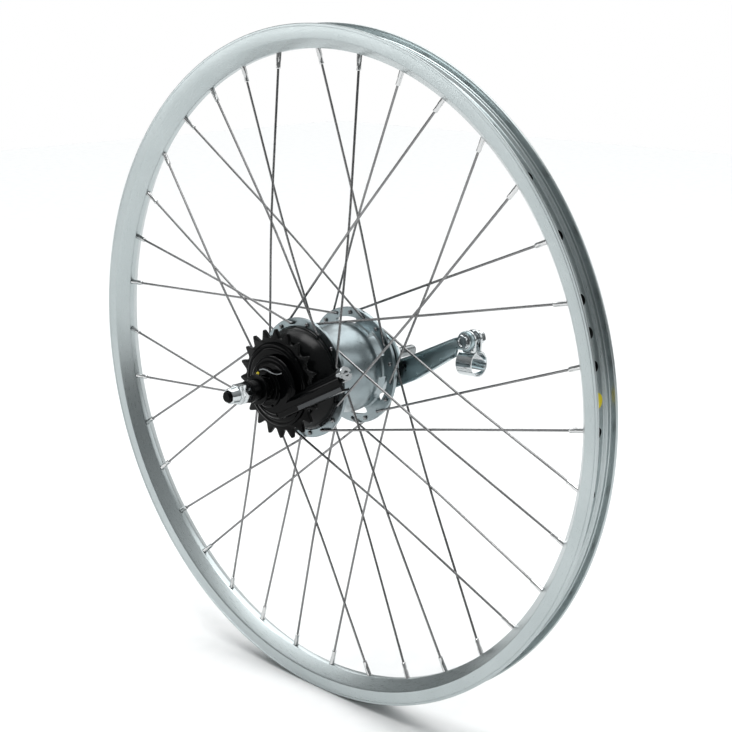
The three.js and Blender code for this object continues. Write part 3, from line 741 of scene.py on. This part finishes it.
# ---- axle, nuts and washers ----
def make_axle_part(name, start, end, slot):
    """A threaded length of axle with its two flats; the helix is one grid that follows the thread."""
    sides, step = 32, THREAD_PITCH / 5
    rings = []
    for i in range(round((end - start) / step) + 1):
        y = start + i * step
        ring = []
        for j in range(sides):
            wave = (y / THREAD_PITCH + j / sides) % 1
            depth = THREAD_DEPTH * abs(2 * wave - 1) if abs(y) > THREAD_START else 0
            chamfer = AXLE_TIP_RADIUS + AXLE_HALF - abs(y)
            x, z = polar(min(AXLE_RADIUS - depth, chamfer), 360 * j / sides)
            if abs(y) > FLAT_START:
                z = max(-AXLE_FLAT, min(AXLE_FLAT, z))
            if y > AXLE_HALF - TIP_FLAT_LENGTH:
                x = min(x, AXLE_FLAT - 0.5)
            ring.append((x, y, z))
        rings.append(ring)
    axle = from_bmesh(name, rings_to_bmesh(rings, close_rings=False, capped=True))
    finish_piece(axle, "axle", slot, ["axle"], smooth=40)


def make_axle():
    make_axle_part("axle_threaded", -AXLE_HALF, AXLE_BREAK, "black_steel")
    make_axle_part("axle_brake_end", AXLE_BREAK, AXLE_HALF, "steel")


def chamfered_hex(name, across, y0, y1, bore, outer_sign, chamfer=0.9):
    """A hexagonal nut body: the corners are turned off by a cone at its outer face."""
    corner = across / math.sqrt(3)
    nut = plate(name + "_hex", circle(corner, 6), y0, y1, [circle(bore, 32)], bevel=0.08)
    near, far = (y0, y1) if outer_sign > 0 else (y1, y0)
    inside = bore * 0.9
    trim = lathe(name + "_trim", [
        (inside, near - outer_sign), (corner + 1, near - outer_sign),
        (corner + 1, far - outer_sign * 1.6), (corner - chamfer, far + outer_sign * 0.01),
        (inside, far + outer_sign * 0.01),
    ], 48)
    return boolean(nut, [trim], "INTERSECT")


def make_cap_nut(collar, hex_start, cone_start, end):
    """Along -Y: a dark collar at the washer, a hexagon, and a cone that ends near the axle's tip."""
    bore = AXLE_BORE
    ring = lathe("cap_nut_collar", [
        (bore, collar), (8.8, collar), (9.2, collar - 0.4), (9.2, hex_start + 1.6), (8.6, hex_start + 0.9),
        (8.6, hex_start + 0.4), (8.2, hex_start), (bore, hex_start),
    ], 64)
    finish_piece(ring, "axle", "chrome", ["drive_cap_nut"], material="black_steel")
    body = chamfered_hex("cap_nut_body", 15, cone_start, hex_start - 0.02, bore, -1)
    cone = lathe("cap_nut_cone", [
        (bore, cone_start + 0.6), (7.2, cone_start + 0.6), (7.2, cone_start - 0.4),
        (7.0, cone_start - 0.9), (6.4, end + 1.2), (6.1, end + 0.4), (5.7, end), (bore, end),
    ], 64)
    nut = join("drive_cap_nut_chrome", body, cone)
    finish_piece(nut, "axle", "chrome", ["drive_cap_nut"], smooth=30)


def make_fixings():
    """The nuts on the axle, and the washers whose tabs sit in the frame's slots."""
    bore = AXLE_BORE
    make_cap_nut(collar=-78.3, hex_start=-88, cone_start=-99.5, end=-107)
    # The washers' hole has the axle's two flats.
    flat = AXLE_FLAT + 0.3
    turn = math.degrees(math.asin(flat / bore))
    hole = [polar(bore, -turn + turn * i / 4) for i in range(9)]
    hole += [(-x, z) for x, z in reversed(hole)]
    for name, y0, y1, tab in (("drive", -78.0, -75.5, 1), ("brake", 75.5, 78.0, -1)):
        disc = plate(name + "_disc", circle(12.5, 72), y0, y1, [hole], bevel=0.35)
        reach = sorted((y1 - 0.2, y1 + 2.2) if tab > 0 else (y0 - 2.2, y0 + 0.2))
        lug = block("tab", (10.2, 12.2), reach, (-2.6, 2.6))
        washer = join(name + "_keyed_washer", disc, bevelled(lug, 0.2))
        finish_piece(washer, "axle", "black_steel", [name + "_nonturn_washer"])
    for name, across, y0, y1, sign, slot in (
        ("drive_locknut", 17, -67.6, -58.3, -1, "black_steel"),
        ("brake_arm_locknut", 17, 61.8, 67.6, 1, "steel"),
        ("brake_axle_nut", 15, 78.3, 86.3, 1, "chrome"),
    ):
        nut = chamfered_hex(name + "_c", across, y0, y1, bore, sign, 0.6)
        nut.name = name + "_hex"
        finish_piece(nut, "axle", slot, [name])


# ---- shift joint ----
def prism(name, foot, degrees, start, end, section):
    """A bar along a direction in the XZ plane, with its section given as (height, y) pairs."""
    along, across = at(1, degrees, 0), at(1, degrees + 90, 0)
    foot = Vector((foot[0], 0, foot[1]))
    rings = []
    for distance in (start, end):
        rings.append([foot + along * distance + across * v + Vector((0, y, 0)) for v, y in section])
    return from_bmesh(name, rings_to_bmesh(rings, close_rings=False, capped=True))


def make_joint_arm():
    """The arm over the cable stop: a lower facet, a raised line and a rolled upper side."""
    section = [
        (0, -64.2), (0.2, -65.4), (0.8, -66.0), (4.0, -66.3), (4.3, -66.8), (4.9, -66.8), (5.2, -66.3),
        (8.0, -66.4), (10.5, -66.1), (12.4, -65.3), (13.6, -64.0), (14.0, -62.6), (14.0, -61.4),
        (12.8, -61.4), (12.2, -62.8), (10.8, -63.5), (1.6, -63.5), (1.6, -58.4), (0, -58.4),
    ]
    bar = prism("arm_bar", JOINT_FOOT, JOINT_ARM_ANGLE, -4, 77, section)
    near, far = Vector(STOP_START), Vector(STOP_END)
    axis = (far - near).normalized()
    seat = rod("seat", near - axis * 2, far, 4.7, 40)
    cap = rod("cap_seat", far - axis * 5.6, far + axis * 4, 6.2, 40)
    bar = boolean(bar, [seat, cap])
    # A thin skin on the arm's lower face in a lighter satin black: its lighter base colour is painted sheen
    # where the glossy black face catches the light.
    facet = [(0.5, -66.02), (0.9, -66.15), (3.8, -66.45), (3.8, -66.2), (0.5, -65.8)]
    satin = prism("bracket_facet_painted_sheen", JOINT_FOOT, JOINT_ARM_ANGLE, 22, 76.6, facet)
    finish_piece(satin, "axle", "black_plastic", material="black_satin_painted_sheen")
    return bar


def make_shift_joint():
    """The off-centre cover with its arm and marks, the lock ring over it and the pulley under it."""
    disc = lathe("bracket_disc", [
        (3, -66.2), (19.9, -66.2), (20.3, -65.7), (20.8, -65.7), (21.2, -66.0), (22.0, -65.5),
        (22.6, -65.1), (23.4, -65.3), (24.2, -65.2), (25.0, -64.7), (25.8, -63.9), (26.3, -62.9),
        (26.5, -61.6), (26.5, -59.2), (26.3, -59.0), (24.3, -59.0), (24.1, -59.2), (24.1, -63.4),
        (3, -63.4),
    ], 144)
    disc.data.transform(Matrix.Translation((JOINT_X * MM, 0, 0)))
    hole = rod("hole", (0, -70, 0), (0, -50, 0), 10.3, 64)
    pin = rod("pin", (11.5, -70, -21.5), (11.5, -62, -21.5), 1.5, 24)
    mouth = block("mouth", (0, 40), (-63.5, -50), (-8, 40))
    disc = boolean(disc, [hole, pin, mouth])
    bracket = join("shift_joint_bracket", make_joint_arm(), disc)
    finish_piece(bracket, "axle", "black_plastic", ["shift_bracket"])
    # The S-shaped ridge belongs to the black bracket but takes the steel finish: a painted highlight along
    # its edge.
    ridge = [
        (-6.7, 13.4), (-2.1, 14.9), (3.0, 14.6), (8.0, 13.4), (12.7, 13.1), (16.5, 14.0), (19.8, 15.3),
    ]
    ridge = smooth_path([(x, -67.5, z) for x, z in ridge])
    finish_piece(sweep("bracket_ridge_painted_highlight", ridge, 0.6, 10), "axle", "black_plastic", material="steel")
    dot = turned_on("alignment_dot", (-8.8, -67.4, 9.7), (0, -1, 0), [(0, 1.6), (0.7, 1.5), (0.9, 0.9)], 24)
    finish_piece(dot, "axle", "black_plastic", material="yellow")
    notches = [block("n", (15.2, 18), (-70, -60), (-1.5, 1.5), 60 * k) for k in range(6)]
    ring = lathe("lock_ring_body", [
        (10.4, -66.3), (10.4, -67.3), (10.8, -67.6), (12.8, -67.6), (13.2, -67.2), (14.0, -67.2),
        (14.4, -67.6), (16.2, -67.6), (16.8, -67.2), (16.8, -66.3),
    ], 96)
    ring = boolean(ring, notches)
    ring.name = "lock_ring_notched"
    finish_piece(ring, "axle", "black_steel", ["shift_lock_ring"])
    make_cable_stop()
    pulley = lathe("pulley_body", [
        (12, -63.2), (18.0, -63.2), (18.5, -62.8), (18.5, -62.4), (17.4, -61.9), (17.4, -61.5),
        (18.5, -61.0), (18.5, -60.6), (18.0, -60.2), (12, -60.2),
    ], 96)
    lug = bevelled(block("lug", (12.5, 18.2), (-60.4, -59.3), (-2.5, 2.5), 200), 0.3)
    finish_piece(join("cable_pulley", pulley, lug), "pulley", "black_plastic", ["shift_pulley"])


def smooth_path(points, steps=6):
    """A Catmull-Rom curve through the points."""
    points = [Vector(point) for point in points]
    result = []
    for i in range(len(points) - 1):
        p0, p1 = points[max(i - 1, 0)], points[i]
        p2, p3 = points[i + 1], points[min(i + 2, len(points) - 1)]
        for step in range(steps):
            t = step / steps
            result.append(
                0.5 * (2 * p1 + (p2 - p0) * t + (2 * p0 - 5 * p1 + 4 * p2 - p3) * t**2
                       + (3 * p1 - p0 - 3 * p2 + p3) * t**3)
            )
    result.append(points[-1])
    return result


def make_cable_stop():
    """A black sleeve along the arm, with a slotted steel end for the cable."""
    start, end = Vector(STOP_START), Vector(STOP_END)
    axis = (end - start).normalized()
    length = (end - start).length
    neck = length * STOP_NECK
    sleeve = turned_on("cable_stop_sleeve", start, axis, [(0, 3.9), (0.5, 4.4), (neck, 4.4)], 40)
    finish_piece(sleeve, "axle", "chrome", ["cable_stop"], material="black_plastic")
    barrel = turned_on("stop_barrel", start, axis, [
        (neck + 0.02, 4.8), (neck + 0.8, 5.9), (length - 0.6, 5.9), (length, 5.4), (length, 2.4),
        (length - 3, 2.4), (length - 3, 0.5),
    ], 40)
    slot = block("slot", (-3, 8), (-70, -50), (-0.9, 0.9), STOP_ANGLE)
    slot.data.transform(Matrix.Translation(end * MM))
    slot.data.transform(Matrix.Translation((0, -end.y * MM, 0)))
    stop = boolean(barrel, [slot])
    stop.name = "cable_stop_barrel"
    finish_piece(stop, "axle", "chrome", ["cable_stop"], material="steel")


# ---- brake arm and clip ----
def arm_outline():
    """The arm's two edges, joined by a round end about the bolt."""
    end = circle(8, 24, -100, BOLT_X, BOLT_Z)[:17]
    return [*ARM_LOWER, (94, 25.2), *end, *reversed(ARM_UPPER)]


def make_brake_arm():
    """A pressed arm: a flat face with a folded lip along each edge, on a round hub."""
    hole = circle(BOLT_HOLE + 0.1, 24, 0, BOLT_X, BOLT_Z)
    face = plate("arm_face", arm_outline(), 58.5, 61.5, [hole], bevel=0.4)
    hub = lathe("arm_hub", [
        (5.2, 57.2), (26.5, 57.2), (29.0, 57.8), (30.0, 59.0), (30.0, 60.9), (29.4, 61.5), (5.2, 61.5),
    ], 120)
    lips = []
    for corners, inward in (
        ([(30, -18.5), *ARM_LOWER[1:]], 1),
        ([(34, 6.6), *ARM_UPPER[1:]], -1),
    ):
        outline = offset_run(corners, -0.3 * inward) + offset_run(corners, 1.7 * inward)[::-1]
        lips.append(plate("lip", outline, 53.4, 58.9, bevel=0.4))
    arm = join("brake_reaction_arm", face, hub, *lips)
    finish_piece(arm, "axle", "brake_steel", ["brake_arm"])


def offset_run(corners, distance):
    """The open run of (x, z) corners, moved sideways by a distance."""
    result = []
    for i, (x, z) in enumerate(corners):
        before = Vector(corners[max(i - 1, 0)])
        after = Vector(corners[min(i + 1, len(corners) - 1)])
        along = (after - before).normalized()
        result.append((x - along.y * distance, z + along.x * distance))
    return result


def flanged_hex(name, y, sign, profile, flange):
    """A flanged hexagon on the clip bolt's axis; beyond the flange its radius is trimmed to the flats."""
    def hexagonal(distance, radius, turn):
        if distance <= flange:
            return radius
        return min(radius, HEX_FLATS / math.cos(math.radians(turn % 60 - 30)))

    return turned_on(name, (BOLT_X, y, BOLT_Z), (0, sign, 0), profile, 48, hexagonal)


def make_clip():
    """A band for the chain stay with two ears, and the bolt, nut and sleeve that hold them."""
    half = CLIP_LENGTH / 2
    band = lathe("band", [
        (CLIP_INNER, -half + 0.3), (CLIP_INNER + 0.3, -half), (CLIP_OUTER - 0.3, -half),
        (CLIP_OUTER, -half + 0.3), (CLIP_OUTER, half - 0.3), (CLIP_OUTER - 0.3, half),
        (CLIP_INNER + 0.3, half), (CLIP_INNER, half - 0.3),
    ], 128)
    tilt = Matrix.Rotation(math.radians(CLIP_TILT), 4, "Y")
    place = Matrix.Translation((CLIP_X * MM, CLIP_Y * MM, CLIP_Z * MM))
    band.data.transform(place @ tilt @ Matrix.Rotation(math.radians(90), 4, "Z"))
    between = (EAR_NEAR + EAR_THICK + 0.1, EAR_FAR - 0.1)
    band = boolean(band, [block("slot", (60, 130), between, (CLIP_Z + 2, BOLT_Z))])
    ears = []
    for y in (EAR_NEAR, EAR_FAR):
        top = circle(8, 48, 0, BOLT_X, BOLT_Z)[:25]
        outline = [(BOLT_X + 7.4, CLIP_Z + 9), *top, (BOLT_X - 5.5, CLIP_Z + 9)]
        bore = circle(BOLT_HOLE, 24, 0, BOLT_X, BOLT_Z)
        ears.append(plate("ear", outline, y, y + EAR_THICK, [bore], bevel=0.4))
    finish_piece(join("chainstay_clip", band, *ears), "clip", "chrome", ["arm_clip"])
    head = flanged_hex("clip_bolt_head", 58.3, -1, [
        (0, 6.8), (0.9, 6.8), (1.2, 6.4), (1.21, 5.8), (3.6, 5.8), (4.1, 5.3), (4.1, 3.8), (3.3, 3.2),
        (3.3, 0.6),
    ], 1.2)
    shank = turned_on("shank", (BOLT_X, 58, BOLT_Z), (0, 1, 0), [(0, 2.9), (21.8, 2.9), (22.5, 2.3)], 24)
    finish_piece(join("clip_bolt_flanged", head, shank), "axle", "chrome", ["clip_bolt"])
    nut = flanged_hex("clip_nut_flanged", 71.3, 1, [
        (0, 3.3), (0.01, 6.9), (1.3, 6.9), (1.7, 6.3), (1.71, 5.8), (7.0, 5.8), (7.5, 5.3), (7.5, 3.3),
        (6.8, 3.0),
    ], 1.7)
    finish_piece(nut, "axle", "chrome", ["clip_nut"])
    sleeve = circle(5.6, 40, 0, BOLT_X, BOLT_Z)
    bore = circle(BOLT_HOLE, 24, 0, BOLT_X, BOLT_Z)
    near, far = EAR_NEAR + EAR_THICK + 0.3, EAR_FAR - 0.3
    spacer = plate("clip_spacer_ring", sleeve, near, far, [bore], bevel=0.4)
    finish_piece(spacer, "axle", "chrome", ["clip_spacer"])


# ---- carried-over pieces ----
def dress_frame():
    """Inner pieces keep their CAD shape and take the finish of their slot."""
    slots = {part["node"]: part["material_slot"] for part in frame["record"]["subparts"]}
    for name, node in frame["nodes"].items():
        node.data.materials.clear()
        node.data.materials.append(MATERIALS[slots[name]])


# ---- studio ----
def make_camera():
    """A camera at its angles about the wheel's middle, moved sideways and up with its target."""
    azimuth, elevation = math.radians(CAMERA_AZIMUTH), math.radians(CAMERA_ELEVATION)
    right = Vector((math.cos(azimuth), math.sin(azimuth), 0))
    back = Vector((
        math.sin(azimuth) * math.cos(elevation),
        -math.cos(azimuth) * math.cos(elevation),
        math.sin(elevation),
    ))
    up = back.cross(right)
    data = bpy.data.cameras.new("camera")
    data.lens = CAMERA_LENS
    data.sensor_width = 36
    data.clip_end = 100
    camera = bpy.data.objects.new("camera", data)
    target = right * CAMERA_RIGHT + up * CAMERA_UP
    place = (target + back * CAMERA_DISTANCE) * MM
    turn = Matrix((right, up, back)).transposed().to_4x4()
    camera.matrix_world = Matrix.Translation(place) @ turn
    bpy.context.scene.collection.objects.link(camera)
    bpy.context.scene.camera = camera


def area_light(name, place, aim, size, energy):
    """A soft rectangular light that the camera doesn't see."""
    data = bpy.data.lights.new(name, "AREA")
    data.shape = "RECTANGLE"
    data.size, data.size_y = size
    data.energy = energy
    light = bpy.data.objects.new(name, data)
    light.location = place
    light.rotation_mode = "QUATERNION"
    light.rotation_quaternion = (Vector(aim) - Vector(place)).to_track_quat("-Z", "Y")
    light.visible_camera = False
    bpy.context.scene.collection.objects.link(light)


def make_floor():
    """A plain pale floor just under the wheel."""
    bm = bmesh.new()
    bmesh.ops.create_grid(bm, x_segments=4, y_segments=4, size=FLOOR_HALF / MM)
    floor = from_bmesh("studio_floor", bm)
    floor.location.z = cad_low[2] - 0.0005
    material, nodes, links, shader = new_material("studio_paper")
    grain = noise_node(nodes, links, coordinates_of(nodes), (1, 1, 1), 40)
    pale, paler = (0.86, 0.87, 0.87), (0.9, 0.9, 0.9)
    colour = mix_colours(nodes, links, spread(nodes, links, grain, 0, 1), pale, paler)
    links.new(colour, shader.inputs["Base Color"])
    shader.inputs["Roughness"].default_value = 0.9
    floor.data.materials.append(material)


def make_world():
    """A white backdrop, and for light a sky that is dim at the horizon and bright overhead."""
    world = bpy.data.worlds.new("studio_world")
    bpy.context.scene.world = world
    world.use_nodes = True
    nodes, links = world.node_tree.nodes, world.node_tree.links
    split = nodes.new("ShaderNodeSeparateXYZ")
    links.new(nodes.new("ShaderNodeTexCoord").outputs["Generated"], split.inputs[0])
    ramp = nodes.new("ShaderNodeValToRGB")
    links.new(split.outputs["Z"], ramp.inputs["Fac"])
    ramp.color_ramp.elements[0].position = SKY[0][0]
    ramp.color_ramp.elements[1].position = SKY[-1][0]
    for position, _ in SKY[1:-1]:
        ramp.color_ramp.elements.new(position)
    for element, (_, level) in zip(ramp.color_ramp.elements, SKY):
        element.color = (level * 0.96, level * 0.99, level, 1)
    sky = nodes["Background"]
    links.new(ramp.outputs["Color"], sky.inputs["Color"])
    sky.inputs["Strength"].default_value = SKY_STRENGTH
    backdrop = nodes.new("ShaderNodeBackground")
    backdrop.inputs["Color"].default_value = (1, 1, 1, 1)
    mix = nodes.new("ShaderNodeMixShader")
    links.new(nodes.new("ShaderNodeLightPath").outputs["Is Camera Ray"], mix.inputs[0])
    links.new(sky.outputs[0], mix.inputs[1])
    links.new(backdrop.outputs[0], mix.inputs[2])
    links.new(mix.outputs[0], nodes["World Output"].inputs["Surface"])


def make_sky_light():
    """One broad, distant light behind and above keeps the floor evenly white to its edge."""
    data = bpy.data.lights.new("sky_light", "SUN")
    data.energy = SKY_LIGHT_POWER
    data.angle = math.radians(SKY_LIGHT_ANGLE)
    light = bpy.data.objects.new("sky_light", data)
    light.rotation_euler = (-Vector(SKY_LIGHT_FROM)).to_track_quat("-Z", "Y").to_euler()
    bpy.context.collection.objects.link(light)


def make_studio():
    make_floor()
    make_world()
    make_sky_light()
    for values in AREA_LIGHTS:
        area_light(*values)
    view = bpy.context.scene.view_settings
    view.view_transform = "Standard"
    view.look = "None"


dress_frame()
make_camera()
make_studio()
make_rim()
make_spokes()
make_shell()
make_dome()
make_brake_cap()
make_sprocket()
make_axle()
make_fixings()
make_shift_joint()
make_brake_arm()
make_clip()
